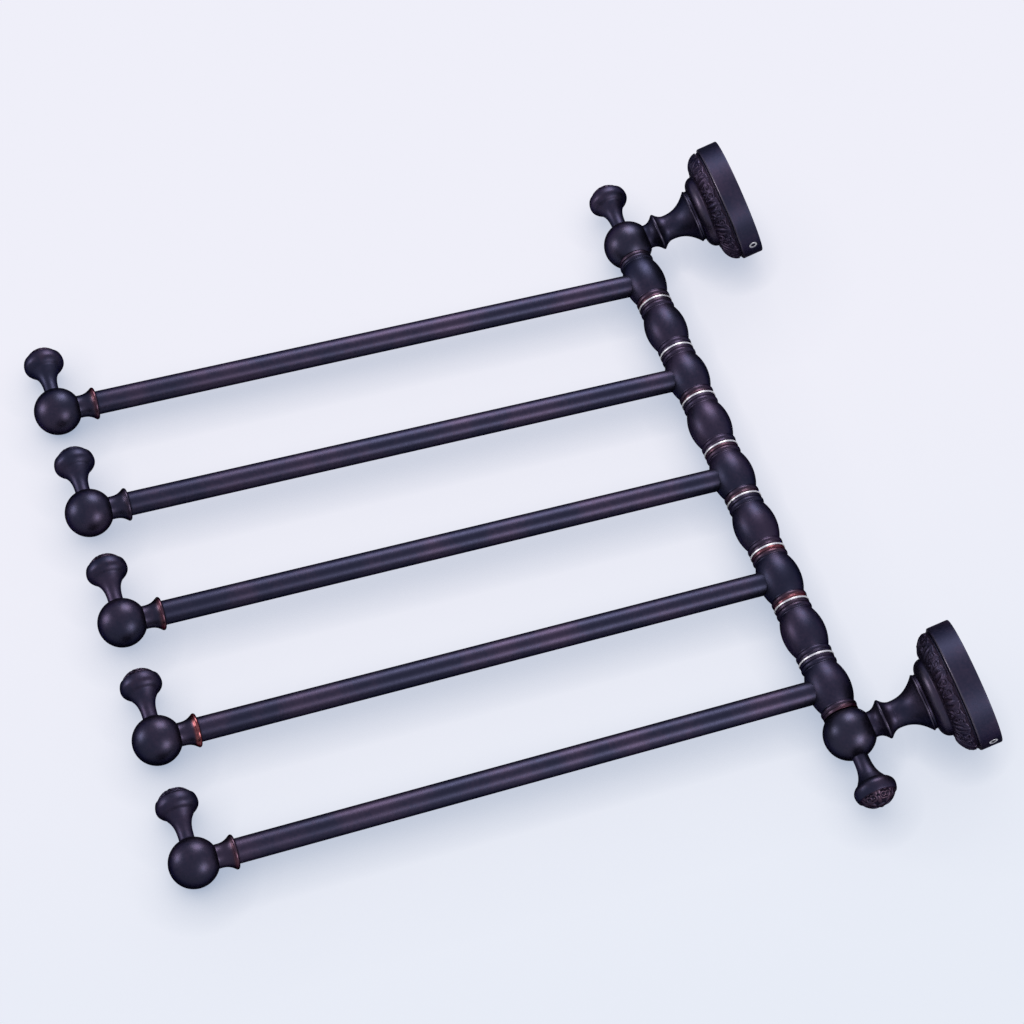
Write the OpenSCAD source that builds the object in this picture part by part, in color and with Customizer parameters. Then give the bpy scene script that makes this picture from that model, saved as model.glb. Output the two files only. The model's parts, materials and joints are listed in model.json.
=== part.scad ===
// Wall-mounted swivel towel rack. Two round flanges hold a vertical spindle off the wall. Five arms
// hang on it by their hubs, with loose turned beads and bright washers between them, and each arm
// swings by itself. Origin: on the wall, midway between the flanges. +Z is up, +Y goes into the wall.

/* [Arms] */
// Number of arms
arms = 5; // [2:1:6]
// Height from one arm to the next
arm_pitch = 64; // [54:1:90]
// Spindle axis to the centre of an arm's end ball
arm_reach = 323; // [180:1:450]
// How far the arms stand turned from straight out
arm_turn = 22; // [-90:1:90]
// Outer diameter of an arm's tube
tube_d = 12; // [9:0.5:13]
// Wall of an arm's tube
tube_wall = 1.2; // [0.8:0.1:1.6]
// Length of the pin and the spigot that plug a tube's two ends
plug_len = 14; // [8:1:25]

/* [Arm ends] */
// Diameter of an arm's end ball
end_ball_d = 24; // [21:0.5:30]
// Diameter of the neck behind an end ball
end_neck_d = 11.4; // [9:0.2:13]
// Diameter of the thin collar that the tube runs into
collar_d = 16.6; // [14.6:0.2:20]
// Thickness of that collar
collar_t = 2.2; // [1.5:0.1:4]
// Length of the hollow neck between collar and ball
end_neck_len = 6; // [4:0.5:10]

/* [Finials] */
// Diameter of an arm finial's stem
arm_stem_d = 7.4; // [6:0.2:9]
// Diameter of an arm finial's head
arm_head_d = 20.4; // [15:0.2:24]
// Diameter of a stack finial's stem
stack_stem_d = 8; // [7:0.2:10]
// Diameter of a stack finial's head
stack_head_d = 21.4; // [16:0.2:25]
// Length of an arm finial's stem, from its seat to where the head starts
arm_stem_len = 14; // [10:0.2:18]
// Length of a stack finial's stem, from its seat to where the head starts
stack_stem_len = 14.6; // [10:0.2:18]
// Height of a finial's head under its widest place
head_under = 4.2; // [3:0.2:8]
// Height of a finial's head over its widest place
head_over = 9; // [6:0.2:10]
// Depth of the ledge around the carved dome on a head
head_ledge = 0.5; // [0.2:0.1:1]

/* [Stack] */
// Diameter of the spindle
spindle_d = 8; // [6:0.5:8.5]
// Length of a hub
hub_len = 31; // [28:0.5:34]
// Widest diameter of hubs and beads
barrel_d = 22.4; // [20:0.2:26]
// Diameter of the groove at each end of a barrel
groove_d = 17.4; // [16.4:0.2:18]
// Diameter of the round ring beside each groove
ring_d = 18.8; // [18:0.2:20]
// Diameter of the land between that ring and the washer
land_d = 18.2; // [16.8:0.2:18.6]
// Outer diameter of the bright washers
washer_d = 18.8; // [14:0.2:20]
// Thickness of the bright washers
washer_t = 1; // [0.6:0.1:2]
// Diameter of the two balls that close the stack
stack_ball_d = 26.5; // [25:0.5:32]
// Centre of a stack ball over the end of the hub beside it
ball_seat = 10.5; // [9:0.1:11.2]

/* [Posts] */
// Wall to spindle axis
stand_off = 66; // [58:1:90]
// Diameter of a post where it meets the ball
post_neck_d = 13.3; // [12:0.1:15]
// Diameter of the thin ring by the ball
small_ring_d = 20.2; // [16:0.2:24]
// Diameter of the waist between the two rings
waist_d = 14; // [12:0.2:15]
// Diameter of the wide ring by the flange
wide_ring_d = 29.2; // [22:0.2:32]
// Length of the cove between ball and thin ring
cove_len = 5.9; // [3:0.1:8]
// Thickness of the thin ring
small_ring_t = 1.6; // [1:0.1:3]
// Length from the thin ring to the waist
waist_len = 5.2; // [4:0.1:10]
// Thickness of the wide ring with the step behind it
wide_ring_t = 2.6; // [2:0.1:4]

/* [Flanges] */
// Outer diameter of a flange
flange_d = 64.6; // [58:0.2:80]
// Height of the plain band that stands on the wall
band_h = 11.4; // [10.4:0.1:16]
// How far the foot of the carved dome stands in from the band
dome_step = 1.4; // [0.8:0.1:3]
// Height of the carved dome over the band
dome_h = 8.6; // [7:0.1:12]
// Diameter of the smooth tier at its foot
tier_d = 41; // [36:0.2:46]
// Height of the smooth tier
tier_h = 5.4; // [4.6:0.1:8]
// Wall of a flange
flange_wall = 2.2; // [1.6:0.1:3]

/* [Wall plates and screws] */
// Thickness of a wall plate
plate_t = 8; // [7.4:0.1:8.6]
// Distance between a wall plate's two screw holes
bolt_gap = 34; // [28:1:40]
// Diameter of the wall screw holes
bolt_d = 4.6; // [3.5:0.1:6]
// Diameter of the countersinks around them
bolt_sink_d = 9.2; // [7:0.1:11]
// Diameter of the grub screw that locks a flange to its plate
grub_d = 5; // [4:0.5:6]
// Width across flats of its hexagon socket
grub_key = 2.5; // [2:0.1:3]
// Height of the grub screw's axis over the wall
grub_h = 4.6; // [4.4:0.1:5]
// Diameter of the screw that draws a post onto its flange
post_screw_d = 6; // [5:0.5:6]
// How far that screw reaches into the post
post_screw_in = 12; // [8:0.5:16]

/* [Fits] */
// Radial gap of hubs and beads on the spindle
run_fit = 0.08; // [0.03:0.01:0.1]
// Radial gap of plugs, studs and screws that stay put
snug_fit = 0.05; // [0.02:0.01:0.1]
// Radial gap between a wall plate and the flange over it
plate_fit = 0.4; // [0.2:0.1:1]

/* [Hidden] */
$fn = 64;
bronze = "#2b2329";
steel = "#cfcac8";
eps = 0.01;
curve_steps = 10;

// Each arm rests a fraction of a degree off the common turn
arm_strays = [-0.2, 0.3, 0.3, -0.1, -0.3, 0];

// Stack, measured from the middle
hub_half = hub_len / 2;
bead_len = arm_pitch - hub_len - 2 * washer_t;
top_arm_z = (arms - 1) / 2 * arm_pitch;
stack_ball_z = top_arm_z + hub_half + ball_seat;
stack_ball_r = stack_ball_d / 2;
spindle_over = 2;
bore_d = spindle_d + 2 * run_fit;
ring_len = 2.6;
land_len = 1.6;
groove_len = 0.5;

// Arm, measured along it from the spindle axis
tube_r = tube_d / 2;
tube_bore_r = tube_r - tube_wall;
plug_r = tube_bore_r - snug_fit;
tube_sink = 0.4;
barrel_fall = 0.8;
tube_root = sqrt(pow(barrel_d / 2 - barrel_fall, 2) - pow(tube_r, 2)) - tube_sink;
pin_in = 1.5;
end_ball_r = end_ball_d / 2;
neck_gap = 1.2;
neck_start = arm_reach - sqrt(pow(end_ball_r, 2) - pow(end_neck_d / 2, 2)) - neck_gap;
collar_r = collar_d / 2;
collar_front = neck_start - end_neck_len;
collar_back = collar_front - collar_t;

// Finials: a stud of stud_d fits a bore in the ball, and the stem stands on a spot face
arm_stud_d = 5;
stack_stud_d = 6;
stud_len = 8;
spot_depth = 0.3;
arm_seat = sqrt(pow(end_ball_r, 2) - pow(arm_stem_d / 2, 2)) - spot_depth;
stack_seat = sqrt(pow(stack_ball_r, 2) - pow(stack_stem_d / 2, 2)) - spot_depth;

// Post, measured from the ball's centre to the flange
flange_h = band_h + dome_h + tier_h;
flange_r = flange_d / 2;
dome_r = flange_r - dome_step;
post_seat = sqrt(pow(stack_ball_r, 2) - pow(post_neck_d / 2, 2)) - 0.1;
post_stud_d = 8;
post_stud_len = 6;
post_end = stand_off - flange_h;
cup_r = flange_r - flange_wall;
web_t = 4;
screw_head_d = 11;
screw_head_h = 4;
screw_key = 5;
screw_key_depth = 2.5;

// Wall plate and grub screw
plate_r = cup_r - plate_fit;
plate_lip = 2;
plate_groove_depth = 3.6;
plate_groove_r = plate_r - plate_groove_depth;
plate_front_r = plate_r - 1.6;
grub_in = 0.2;
grub_key_depth = 2.4;
grub_tip_r = 0.3;
tip_gap = 0.3;

function numbered(name, count) = [for (k = [1 : count]) str(name, "_", k)];

function arm_z(k) = top_arm_z - (k - 1) * arm_pitch;
function reversed(list) = [for (i = [len(list) - 1 : -1 : 0]) list[i]];
function mirrored(list) = [for (p = reversed(list)) [p.x, -p.y]];

// Outline points are [radius, height]. A flare leaves `slim` along the axis and widens to `wide`.
function flare(slim, wide, power) = [for (i = [0 : curve_steps]) let (t = i / curve_steps)
    [slim.x + (wide.x - slim.x) * pow(t, power), slim.y + (wide.y - slim.y) * t]];
// A quarter of an ellipse: square to the axis at `flat`, along it at `steep`
function quarter(flat, steep) = [for (i = [0 : curve_steps]) let (a = 90 * i / curve_steps)
    [flat.x + (steep.x - flat.x) * sin(a), flat.y + (steep.y - flat.y) * (1 - cos(a))]];
// A round ring of the given rise, standing on a cylinder of radius r between two heights
function half_round(r, rise, from, to) = [for (i = [0 : curve_steps]) let (a = 180 * i / curve_steps)
    [r + rise * sin(a), from + (to - from) * (1 - cos(a)) / 2]];

// Upper half of a hub's or bead's outline: barrel arc, groove, round ring and land
function barrel_half(half) = let (
    barrel_half_len = half - land_len - ring_len - groove_len,
    drop = (barrel_d - groove_d) / 2,
    arc_r = (pow(barrel_half_len, 2) + pow(drop, 2)) / (2 * drop),
    land_top = half - 0.2)
    concat(
        [for (i = [1 : curve_steps]) let (z = barrel_half_len * i / curve_steps)
            [barrel_d / 2 - arc_r + sqrt(pow(arc_r, 2) - pow(z, 2)), z]],
        half_round(groove_d / 2, (ring_d - groove_d) / 2, half - land_len - ring_len, half - land_len),
        [[land_d / 2, half - land_len], [land_d / 2, land_top], [land_d / 2 - 0.2, half]]);
function barrel_outline(length) = let (upper = barrel_half(length / 2))
    concat([[bore_d / 2, -length / 2]], mirrored(upper), [[barrel_d / 2, 0]], upper, [[bore_d / 2, length / 2]]);

// A solid turned about Z from its outline, listed from bottom to top
module turned(outline) {
    foot = outline[0].y;
    head = outline[len(outline) - 1].y;
    rotate_extrude()
        polygon(concat([[0, foot]], outline, [[0, head]]));
}

// A hub's or bead's barrel, bored for the spindle
module barrel(length) {
    rotate_extrude()
        polygon(barrel_outline(length));
}

module out_from_wall(z) {
    translate([0, 0, z])
        rotate([90, 0, 0])
            children();
}

module at_spindle(z) {
    translate([0, -stand_off, z])
        children();
}

module on_arm(k) {
    at_spindle(arm_z(k))
        rotate([0, 0, arm_turn + arm_strays[k - 1]])
            children();
}

// Turned so that +Z runs out along the arm and +X points down
module out_along_arm(k) {
    on_arm(k)
        rotate([0, 90, -90])
            children();
}

// Wall plate: a grooved disc screwed to the wall
module wall_plate(z) {
    color(steel)
        out_from_wall(z)
            difference() {
                turned([
                    [plate_r, 0],
                    [plate_r, plate_lip],
                    [plate_groove_r, grub_h - 0.4],
                    [plate_groove_r, grub_h + 0.4],
                    [plate_front_r, plate_t - 1],
                    [plate_front_r - 0.6, plate_t]]);
                for (side = [-1, 1])
                    translate([side * bolt_gap / 2, 0, 0])
                        bolt_hole();
            }
}

module bolt_hole() {
    sink_h = (bolt_sink_d - bolt_d) / 2;
    translate([0, 0, -eps])
        cylinder(d = bolt_d, h = plate_t + 2 * eps);
    translate([0, 0, plate_t - sink_h])
        cylinder(d1 = bolt_d, d2 = bolt_sink_d + 2 * eps, h = sink_h + eps);
}

// Flange: a cup over the wall plate, with plain band, carved dome and smooth tier
module flange(z) {
    groove_h = 0.6;
    groove_r = dome_r - 0.6;
    dome_foot = band_h + groove_h;
    dome_top = band_h + dome_h;
    color(bronze)
        out_from_wall(z)
            difference() {
                turned(concat(
                    [[flange_r - 0.3, 0], [flange_r, 0.3], [flange_r, band_h - 0.4], [flange_r - 0.4, band_h]],
                    [[groove_r, band_h], [groove_r, dome_foot]],
                    reversed(quarter([tier_d / 2, dome_top], [dome_r, dome_foot])),
                    reversed(quarter([wide_ring_d / 2 - 0.4, flange_h], [tier_d / 2 - 0.3, dome_top + 0.2]))));
                flange_hollow();
                grub_hole();
            }
}

module flange_hollow() {
    dome_top = band_h + dome_h - flange_wall;
    head_room_r = screw_head_d / 2 + 1;
    turned(concat(
        [[cup_r, -eps]],
        reversed(quarter([tier_d / 2 - flange_wall, dome_top], [cup_r, band_h - flange_wall])),
        [[head_room_r, dome_top], [head_room_r, flange_h - web_t]]));
    cylinder(d = post_screw_d + 2 * snug_fit, h = flange_h + eps);
}

// The grub screw enters the band from straight below
module grub_hole() {
    translate([0, -flange_r - 1, grub_h])
        rotate([-90, 0, 0])
            cylinder(d = grub_d + 2 * snug_fit, h = flange_wall + 3);
}

// Grub screw: its cone tip stands in the wall plate's groove
module grub_screw(z) {
    outer = flange_r - grub_in;
    cone_start = outer - plate_r - tip_gap;
    length = outer - plate_groove_r - tip_gap;
    color(steel)
        out_from_wall(z)
            translate([0, -outer, grub_h])
                rotate([-90, 0, 0])
                    difference() {
                        turned([
                            [grub_d / 2 - 0.3, 0],
                            [grub_d / 2, 0.3],
                            [grub_d / 2, cone_start],
                            [grub_tip_r, length]]);
                        hexagon_socket(grub_key, grub_key_depth);
                    }
}

module hexagon_socket(across, depth) {
    translate([0, 0, -eps])
        cylinder(d = across / cos(30), h = depth + eps, $fn = 6);
}

// Post: turned neck between ball and flange, built from its flange end
module post(z) {
    wide_r = wide_ring_d / 2;
    small_r = small_ring_d / 2;
    length = post_end - post_seat;
    small_back = length - cove_len;
    small_front = small_back - small_ring_t;
    waist = small_front - waist_len;
    color(bronze)
        translate([0, -flange_h, z])
            rotate([90, 0, 0])
                difference() {
                    union() {
                        turned(concat(
                            [[wide_r - 0.4, 0], [wide_r - 0.4, wide_ring_t * 0.5]],
                            [[wide_r, wide_ring_t * 0.6], [wide_r, wide_ring_t * 0.9]],
                            reversed(flare([waist_d / 2, waist], [wide_r - 0.5, wide_ring_t], 2.35)),
                            flare([waist_d / 2, waist], [small_r - 0.4, small_front], 2.3),
                            [[small_r, small_front + 0.4], [small_r, small_back - 0.4]],
                            reversed(flare([post_neck_d / 2, length - 0.8], [small_r - 0.4, small_back], 2.2)),
                            [[post_neck_d / 2, length]]));
                        cylinder(d = post_stud_d, h = length + post_stud_len);
                    }
                    translate([0, 0, -eps])
                        cylinder(d = post_screw_d + 2 * snug_fit, h = post_screw_in + 1);
                }
}

module post_screw(z) {
    color(steel)
        out_from_wall(z)
            translate([0, 0, flange_h - web_t - screw_head_h])
                difference() {
                    union() {
                        cylinder(d = screw_head_d, h = screw_head_h);
                        cylinder(d = post_screw_d, h = screw_head_h + web_t + post_screw_in);
                    }
                    hexagon_socket(screw_key, screw_key_depth);
                }
}

// Stack ball: flats for the hub, the post and the finial, with a bore behind each; up is 1 or -1
module stack_ball(up) {
    color(bronze)
        at_spindle(up * stack_ball_z)
            pointing(up)
                difference() {
                    sphere(d = stack_ball_d);
                    translate([0, 0, -ball_seat - stack_ball_r])
                        cylinder(d = 2 * stack_ball_d, h = stack_ball_r);
                    translate([0, 0, -stack_ball_r])
                        cylinder(d = spindle_d + 2 * snug_fit, h = stack_ball_r + spindle_over);
                    finial_socket(stack_seat, stack_stem_d, stack_stud_d, stack_ball_r);
                    rotate([-90, 0, 0]) {
                        translate([0, 0, post_seat])
                            cylinder(d = 2 * stack_ball_d, h = stack_ball_r);
                        translate([0, 0, post_seat - post_stud_len])
                            cylinder(d = post_stud_d + 2 * snug_fit, h = stack_ball_r);
                    }
                }
}

// Turns what points up to point down when up is -1
module pointing(up) {
    mirror([0, 0, up > 0 ? 0 : 1])
        children();
}

// Spot face and bore that a finial stands in, on a ball of radius ball_r at the origin
module finial_socket(seat, stem_d, stud_d, ball_r) {
    translate([0, 0, seat])
        cylinder(d = stem_d + 4 * snug_fit, h = ball_r);
    translate([0, 0, seat - stud_len])
        cylinder(d = stud_d + 2 * snug_fit, h = ball_r);
}

// Finial on a ball at the origin: stud, slender flared stem and mushroom head with a ledged dome.
// The head's underside is an ellipse's arc that leaves the stem at `lean` degrees round it.
module finial(seat, stem_d, stem_len, stud_d, head_d) {
    stem_r = stem_d / 2;
    head_r = head_d / 2;
    shoulder_r = head_r * 0.72;
    widest = seat + stem_len + head_under;
    top = widest + head_over;
    ledge_rise = 0.46;
    lean = 40;
    arc_r = (shoulder_r - head_r * sin(lean)) / (1 - sin(lean));
    color(bronze)
        turned(concat(
            [[stud_d / 2, seat - stud_len], [stud_d / 2, seat], [stem_r, seat]],
            flare([stem_r, seat + 1], [shoulder_r, seat + stem_len], 3),
            [for (i = [1 : curve_steps]) let (a = lean + (90 - lean) * i / curve_steps)
                [arc_r + (head_r - arc_r) * sin(a), widest - head_under * cos(a) / cos(lean)]],
            [for (a = [6 : 6 : 24]) [head_r * cos(a), widest + head_over * sin(a)]],
            [[sqrt(1 - pow(ledge_rise, 2)) * head_r, widest + head_over * ledge_rise]],
            [for (a = [30 : 7.5 : 82.5]) [(head_r - head_ledge) * cos(a), widest + head_over * sin(a)]],
            [[eps, top]]));
}

module spindle() {
    half = stack_ball_z + spindle_over - 0.2;
    color(steel)
        at_spindle(-half)
            cylinder(d = spindle_d, h = 2 * half);
}

// Hub: barrel on the spindle, with a stepped socket for the arm's tube and its pin
module hub(k) {
    color(bronze)
        difference() {
            at_spindle(arm_z(k))
                barrel(hub_len);
            out_along_arm(k) {
                translate([0, 0, tube_root])
                    cylinder(r = tube_r + snug_fit, h = barrel_d);
                translate([0, 0, tube_root - pin_in])
                    cylinder(r = plug_r + snug_fit, h = barrel_d);
            }
        }
}

// Pin brazed into the hub's socket, which carries the tube
module tube_pin(k) {
    color(steel)
        out_along_arm(k)
            translate([0, 0, tube_root - pin_in])
                cylinder(r = plug_r, h = pin_in + plug_len);
}

module bead(k) {
    color(bronze)
        at_spindle(arm_z(k) - arm_pitch / 2)
            barrel(bead_len);
}

// Washers sit on both sides of each bead: odd ones over it, even ones under it
module washer(k) {
    gap = floor((k + 1) / 2);
    side = k % 2 == 1 ? 1 : -1;
    middle = arm_z(gap) - arm_pitch / 2 + side * (bead_len + washer_t) / 2;
    color(steel)
        at_spindle(middle)
            difference() {
                cylinder(d = washer_d, h = washer_t, center = true);
                cylinder(d = bore_d, h = 2 * washer_t, center = true);
            }
}

module arm_tube(k) {
    length = collar_back - tube_root;
    color(bronze)
        out_along_arm(k)
            translate([0, 0, tube_root])
                difference() {
                    cylinder(d = tube_d, h = length);
                    translate([0, 0, -eps])
                        cylinder(r = tube_bore_r, h = length + 2 * eps);
                }
}

// Arm end: spigot in the tube, thin collar, hollow neck and ball with a socket for its finial
module arm_end(k) {
    color(bronze)
        difference() {
            union() {
                out_along_arm(k) {
                    translate([0, 0, collar_back - plug_len])
                        cylinder(r = plug_r, h = plug_len + collar_t);
                    turned(concat(
                        quarter([collar_r - 1, collar_back], [collar_r, collar_back + collar_t / 2]),
                        [[collar_r, collar_front - 0.4]],
                        reversed(flare([end_neck_d / 2, neck_start], [collar_r - 0.3, collar_front], 2.5)),
                        [[end_neck_d / 2, arm_reach - end_ball_r / 2]]));
                }
                on_arm(k)
                    translate([0, -arm_reach, 0])
                        sphere(d = end_ball_d);
            }
            on_arm(k)
                translate([0, -arm_reach, 0])
                    finial_socket(arm_seat, arm_stem_d, arm_stud_d, end_ball_r);
        }
}

module arm_finial(k) {
    on_arm(k)
        translate([0, -arm_reach, 0])
            finial(arm_seat, arm_stem_d, arm_stem_len, arm_stud_d, arm_head_d);
}

module stack_finial(up) {
    at_spindle(up * stack_ball_z)
        pointing(up)
            finial(stack_seat, stack_stem_d, stack_stem_len, stack_stud_d, stack_head_d);
}

wall_plate(stack_ball_z);  // upper_wall_plate
wall_plate(-stack_ball_z);  // lower_wall_plate
flange(stack_ball_z);  // upper_flange
flange(-stack_ball_z);  // lower_flange
grub_screw(stack_ball_z);  // upper_grub_screw
grub_screw(-stack_ball_z);  // lower_grub_screw
post(stack_ball_z);  // upper_post
post(-stack_ball_z);  // lower_post
post_screw(stack_ball_z);  // upper_post_screw
post_screw(-stack_ball_z);  // lower_post_screw
stack_ball(1);  // upper_ball
stack_ball(-1);  // lower_ball
stack_finial(1);  // top_finial
stack_finial(-1);  // bottom_finial
spindle();
for (k = [1 : arms]) {
    hub(k);
    tube_pin(k);
    arm_tube(k);
    arm_end(k);
    arm_finial(k);
}
for (k = [1 : arms - 1])
    bead(k);
for (k = [1 : 2 * arms - 2])
    washer(k);
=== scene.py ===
# %% [markdown]
# # A swivel towel rack in oil-rubbed bronze
# The rack hangs on a wall by two round flanges. An upright spindle stands off that wall, five
# ball-ended arms swing on it, and loose turned beads and bright washers keep them apart. Nearly
# every piece was made on a lathe or cast from a turned pattern, so nearly every surface here is a
# profile carried round an axis. The carving on the flanges and finials is a height that is added
# along the normals of such a surface.

import json
import math

import bpy
import numpy as np
from mathutils import Matrix, Vector


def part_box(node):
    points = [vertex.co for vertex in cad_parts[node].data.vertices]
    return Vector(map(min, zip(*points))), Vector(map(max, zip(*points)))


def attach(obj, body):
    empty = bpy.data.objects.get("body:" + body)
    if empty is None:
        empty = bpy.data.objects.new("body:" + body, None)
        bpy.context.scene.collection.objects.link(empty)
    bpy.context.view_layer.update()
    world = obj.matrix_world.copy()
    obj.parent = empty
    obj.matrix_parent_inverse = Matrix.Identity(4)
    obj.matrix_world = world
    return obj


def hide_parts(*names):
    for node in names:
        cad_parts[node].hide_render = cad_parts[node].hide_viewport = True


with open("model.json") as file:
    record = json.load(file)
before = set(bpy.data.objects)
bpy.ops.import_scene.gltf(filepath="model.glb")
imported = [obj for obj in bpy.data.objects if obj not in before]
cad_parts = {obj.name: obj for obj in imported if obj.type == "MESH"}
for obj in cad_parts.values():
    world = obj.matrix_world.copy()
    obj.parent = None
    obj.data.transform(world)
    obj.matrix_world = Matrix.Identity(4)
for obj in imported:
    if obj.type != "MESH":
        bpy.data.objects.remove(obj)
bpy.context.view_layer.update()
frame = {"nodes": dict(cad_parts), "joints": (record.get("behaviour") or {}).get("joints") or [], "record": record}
record = frame["record"]
slot_of = {part["node"]: part["material_slot"] for part in record["subparts"]}
body_of = {node: body for body, nodes in record["behaviour"]["bodies"].items() for node in nodes}

# %% [markdown]
# ## The camera
# The rack lies on a pale table with its arms folded to one side, and the camera looks down on it
# from in front. In the rack's own frame that is a camera low on the right, rolled so that the
# spindle leans. A point and two directions say it exactly: where the camera stands, where it looks
# and which way is up for it. A long lens keeps the arms nearly parallel.

# %% Camera
eye = Vector((1.1218, -0.0923, -0.5423))
looking = Vector((-0.8878, -0.0691, 0.4550)).normalized()
roughly_up = Vector((0.3926, 0.4024, 0.8271))
across = looking.cross(roughly_up).normalized()
upward = across.cross(looking)
facing = Matrix((across, upward, -looking)).transposed().to_4x4()
lens = bpy.data.cameras.new("long_lens")
lens.lens = 84.08
lens.sensor_width = 36
camera = bpy.data.objects.new("camera", lens)
camera.matrix_world = Matrix.Translation(eye) @ facing
bpy.context.scene.collection.objects.link(camera)
bpy.context.scene.camera = camera
print("camera stands", round(eye.length, 3), "m from the middle of the rack's wall side")

# %% [markdown]
# ## Shader maths as Python
# A finish is easier to read as a sum than as a web of nodes. `Wire` holds one output socket. Adding,
# taking away or multiplying wires adds the Math node that does it. `Finish` holds the nodes of one
# material, or of the sky, and makes any other node from its type, its settings and the values of
# its sockets.


# %% Wires
class Wire:
    """An output socket that can stand in a Python expression, on either side of a number."""

    def __init__(self, finish, socket):
        self.finish = finish
        self.socket = socket

    def _maths(self, operation, a, b, clamp=False):
        settings = dict(operation=operation, use_clamp=clamp)
        return self.finish.node("ShaderNodeMath", settings, {0: a, 1: b})

    def __add__(self, other):
        return self._maths("ADD", self, other)

    def __sub__(self, other):
        return self._maths("SUBTRACT", self, other)

    def __rsub__(self, other):
        return self._maths("SUBTRACT", other, self)

    def __mul__(self, other):
        return self._maths("MULTIPLY", self, other)

    def clipped(self):
        """The same value, kept between 0 and 1."""
        return self._maths("ADD", self, 0.0, clamp=True)

    __radd__ = __add__
    __rmul__ = __mul__


print("wires ready")


# %% Finishes
class Finish:
    """The nodes of a material or a sky. Its output node comes first and is linked last."""

    def __init__(self, holder, output_kind="ShaderNodeOutputMaterial"):
        self.holder = holder
        self.holder.use_nodes = True
        self.tree = self.holder.node_tree
        self.tree.nodes.clear()
        self.out = self.tree.nodes.new(output_kind)

    def node(self, kind, settings=None, inputs=None, output=0):
        """Adds a node: settings first, then each socket's value or link. Returns one output."""
        made = self.tree.nodes.new(kind)
        for key, value in (settings or {}).items():
            setattr(made, key, value)
        for key, value in (inputs or {}).items():
            if isinstance(value, Wire):
                self.tree.links.new(value.socket, made.inputs[key])
            else:
                made.inputs[key].default_value = value
        return Wire(self, made.outputs[output])

    def place(self):
        """Object coordinates, in metres."""
        return self.node("ShaderNodeTexCoord", output="Object")

    def noise(self, scale, detail):
        """Noise over Object coordinates. Scale is in waves per metre."""
        inputs = {"Vector": self.place(), "Scale": scale, "Detail": detail}
        return self.node("ShaderNodeTexNoise", inputs=inputs)

    def attribute(self, name):
        """A number that a mesh carries on each of its points."""
        return self.node("ShaderNodeAttribute", dict(attribute_name=name), output="Fac")

    def ramp(self, value, low, high):
        """0 at low and 1 at high, held beyond them and smooth between."""
        inputs = {"Value": value, "From Min": low, "From Max": high}
        return self.node("ShaderNodeMapRange", dict(interpolation_type="SMOOTHSTEP"), inputs)

    def mix(self, factor, a, b):
        """A colour that goes from a to b. The node's colour sockets are 6 and 7, and 2 comes out."""
        a, b = (colour if isinstance(colour, Wire) else (*colour, 1) for colour in (a, b))
        return self.node("ShaderNodeMix", dict(data_type="RGBA"), {0: factor, 6: a, 7: b}, output=2)

    def bump(self, height, depth):
        """A normal that leans as if the height were this deep, in metres."""
        return self.node("ShaderNodeBump", inputs={"Height": height, "Distance": depth})

    def choose(self, factor, at_none, at_full):
        """A shader that goes from one to the other as the factor goes from 0 to 1."""
        return self.node("ShaderNodeMixShader", inputs={0: factor, 1: at_none, 2: at_full})

    def surface(self, shader):
        """Links the last shader to the output and hands back the material or the sky."""
        self.tree.links.new(shader.socket, self.out.inputs["Surface"])
        return self.holder


print("finish helpers ready")

# %% [markdown]
# ## Oil-rubbed bronze
# The real finish is a black-brown chemical patina over brass, waxed to a satin. It is blue-black
# where it is thick, plum where it is thin and darkest in hollows. It could be a black paint with a
# clear gloss over it, but then every highlight would be white. Here it is a very dark metal, so that
# the highlights take its blue and plum. A dark edge tint keeps the rims from shining. Handling wears
# the patina off sharp edges, so that red copper shows, and rubs it paler and smoother where it
# stays. A mesh carries both as numbers on each point: how worn it is, and how hollow, where less
# than 0 is rubbed. On the flanges' rims and crests and the posts' rings that paler colour is also a
# painted highlight line. Noise breaks the wear up, and fine bumps keep the highlights soft and
# uneven.

# %% Bronze colours
blue_black = (0.0165, 0.0172, 0.0335)
plum_black = (0.0290, 0.0225, 0.0420)
hollow_black = (0.0120, 0.0085, 0.0170)
thin_patina = (0.050, 0.0300, 0.0440)
deep_copper = (0.120, 0.022, 0.028)
pale_copper = (0.29, 0.125, 0.130)
# paler rubbed bronze: real rubbing on the balls, and a painted highlight on rims, crests and post rings
rubbed_and_highlight_bronze = (0.150, 0.135, 0.170)
print("blue-black and plum-black patina over copper")


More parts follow.
